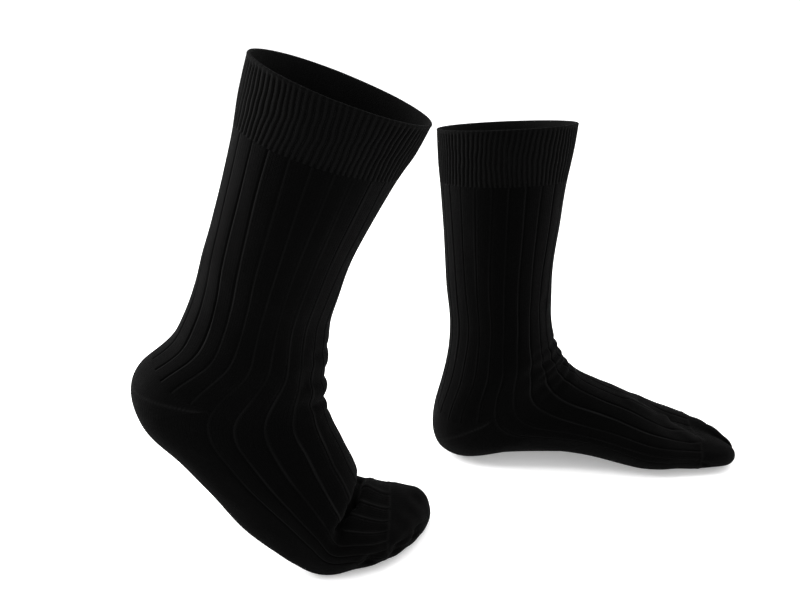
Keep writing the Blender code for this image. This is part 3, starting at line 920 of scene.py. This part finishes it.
class SOCKS_OT_toes(bpy.types.Operator):
    """Knit both toe caps: plain, rounded over the toes and linked to the foot"""

    bl_idname = "socks.toes"
    bl_label = "Toes"

    def execute(self, context):
        knit, look = context.scene.sock_knit, context.scene.sock_cotton
        finish = knit_finish("plain_knit", look.plain, look, 0.8)
        all_round = np.arange(TOE_COLUMNS + 1) / TOE_COLUMNS
        turn = all_round[None, :-1]
        wales = wale_numbers(all_round, knit)
        row = rows_between(TOE_SEAM + 0.0 * turn, LAST_ROW + 0.0 * turn, TOE_ROWS)
        for side, sock in SOCKS.items():
            ribs = wide_rib_relief(row, turn, knit) * (1.0 - smooth((row - TOE_SEAM) / 0.08))
            height = ribs + RIB_CROWN * smooth((row - TOE_SEAM) / 0.08) * smooth((LAST_ROW - row) / 1.0)
            height = height + LINKING_HEIGHT * linked_seam(row) + crease_relief(row, turn, sock)
            points = knit_points(row, turn + 0.0 * row, sock, height)
            courses = run_along(points, knit.course_height)
            sheet = Sheet(sock)
            # Painted highlight on the linked toe seam.
            sheet.add_grid(points, SEAM_SHARE * linked_seam(row), wales, courses)
            sheet.add_cap(TOE_ROWS * TOE_COLUMNS, wales, courses[-1])
            piece = sheet.make(f"{side}_toe_cap", finish, HEEL_AND_TOE_WALL)
            hand_over(piece, f"{side}_toe")
        return {"FINISHED"}


# Stage, in metres.
FLOOR_SIZE = 24.0
CAMERA_PLACE = (-0.049, -0.7252, 0.430)
CAMERA_TILT = math.radians(70.0)
SENSOR_WIDTH = 36.0
# Softboxes: name, place, size, and which of the stage's powers it takes.
SOFTBOXES = (
    ("left_softbox", (-1.25, 0.35, 0.75), 1.0, "left_light"),
    ("right_softbox", (1.25, 0.45, 0.85), 1.0, "right_light"),
    ("top_softbox", (0.0, 0.25, 1.70), 1.6, "top_light"),
)
LIGHTS_AIM = (0.0, 0.0, 0.12)


def aim(obj, target):
    """Turns a light so that it shines at the target."""
    way = np.array(obj.location) - np.array(target)
    across = math.hypot(way[0], way[1])
    obj.rotation_euler = (math.atan2(across, way[2]), 0.0, math.atan2(way[0], -way[1]))


def floor_finish(colour, glow):
    """Plain matt board with a very faint unevenness, lit softly from below."""
    nodes = Nodes("pale_floor")
    place = nodes.new("ShaderNodeTexCoord")
    grain = nodes.noise(place.outputs["Object"], 6.0, 2.0)
    rough = nodes.math("ADD", nodes.math("MULTIPLY", grain, 0.1), 0.85)
    nodes.join(rough, nodes.shader.inputs["Roughness"])
    nodes.shader.inputs["Base Color"].default_value = (*colour, 1.0)
    nodes.shader.inputs["Specular IOR Level"].default_value = 0.1
    nodes.shader.inputs["Emission Color"].default_value = (*colour, 1.0)
    nodes.shader.inputs["Emission Strength"].default_value = glow
    return nodes.material


class SOCKS_OT_stage(bpy.types.Operator):
    """Set up the pale floor, the soft studio light and the camera"""

    bl_idname = "socks.stage"
    bl_label = "Stage"

    def execute(self, context):
        stage = context.scene.sock_stage
        bpy.ops.object.select_all(action="DESELECT")
        bpy.ops.mesh.primitive_plane_add(size=FLOOR_SIZE, location=(0.0, 0.0, 0.0))
        floor = context.object
        floor.name = "floor"
        floor.data.materials.append(floor_finish(stage.floor, stage.floor_glow))

        world = bpy.data.worlds.new("studio")
        world.use_nodes = True
        background = world.node_tree.nodes["Background"]
        background.inputs["Color"].default_value = (1.0, 1.0, 1.0, 1.0)
        background.inputs["Strength"].default_value = stage.sky
        context.scene.world = world

        for name, place, size, power in SOFTBOXES:
            bpy.ops.object.light_add(type="AREA", location=place)
            light = context.object
            light.name = name
            light.data.shape = "SQUARE"
            light.data.size = size
            light.data.energy = getattr(stage, power)
            aim(light, LIGHTS_AIM)

        bpy.ops.object.camera_add(location=CAMERA_PLACE, rotation=(CAMERA_TILT, 0.0, 0.0))
        camera = context.object
        camera.name = "camera"
        camera.data.sensor_width = SENSOR_WIDTH
        camera.data.lens = stage.lens
        context.scene.camera = camera
        context.scene.view_settings.view_transform = "Standard"
        return {"FINISHED"}


class SOCKS_PT_panel(bpy.types.Panel):
    """Sizes, colours and the steps that knit the socks"""

    bl_label = "Ribbed socks"
    bl_idname = "SOCKS_PT_panel"
    bl_space_type = "VIEW_3D"
    bl_region_type = "UI"
    bl_category = "Socks"

    def draw(self, context):
        for group in (context.scene.sock_knit, context.scene.sock_cotton, context.scene.sock_stage):
            box = self.layout.box()
            for name in group.__annotations__:
                box.prop(group, name)
        for step in STEPS:
            self.layout.operator(step.bl_idname)


STEPS = (
    SOCKS_OT_stage, SOCKS_OT_cuffs, SOCKS_OT_legs_and_feet, SOCKS_OT_heels, SOCKS_OT_toes,
)
CLASSES = (SockKnit, CottonLook, StageLook, *STEPS, SOCKS_PT_panel)


def register():
    for cls in CLASSES:
        bpy.utils.register_class(cls)
    bpy.types.Scene.sock_knit = bpy.props.PointerProperty(type=SockKnit)
    bpy.types.Scene.sock_cotton = bpy.props.PointerProperty(type=CottonLook)
    bpy.types.Scene.sock_stage = bpy.props.PointerProperty(type=StageLook)


def unregister():
    del bpy.types.Scene.sock_stage
    del bpy.types.Scene.sock_cotton
    del bpy.types.Scene.sock_knit
    for cls in reversed(CLASSES):
        bpy.utils.unregister_class(cls)


def main():
    """Build everything in order."""
    register()
    bpy.ops.socks.stage()
    bpy.ops.socks.cuffs()
    bpy.ops.socks.legs_and_feet()
    bpy.ops.socks.heels()
    bpy.ops.socks.toes()


if __name__ == "__main__":
    main()
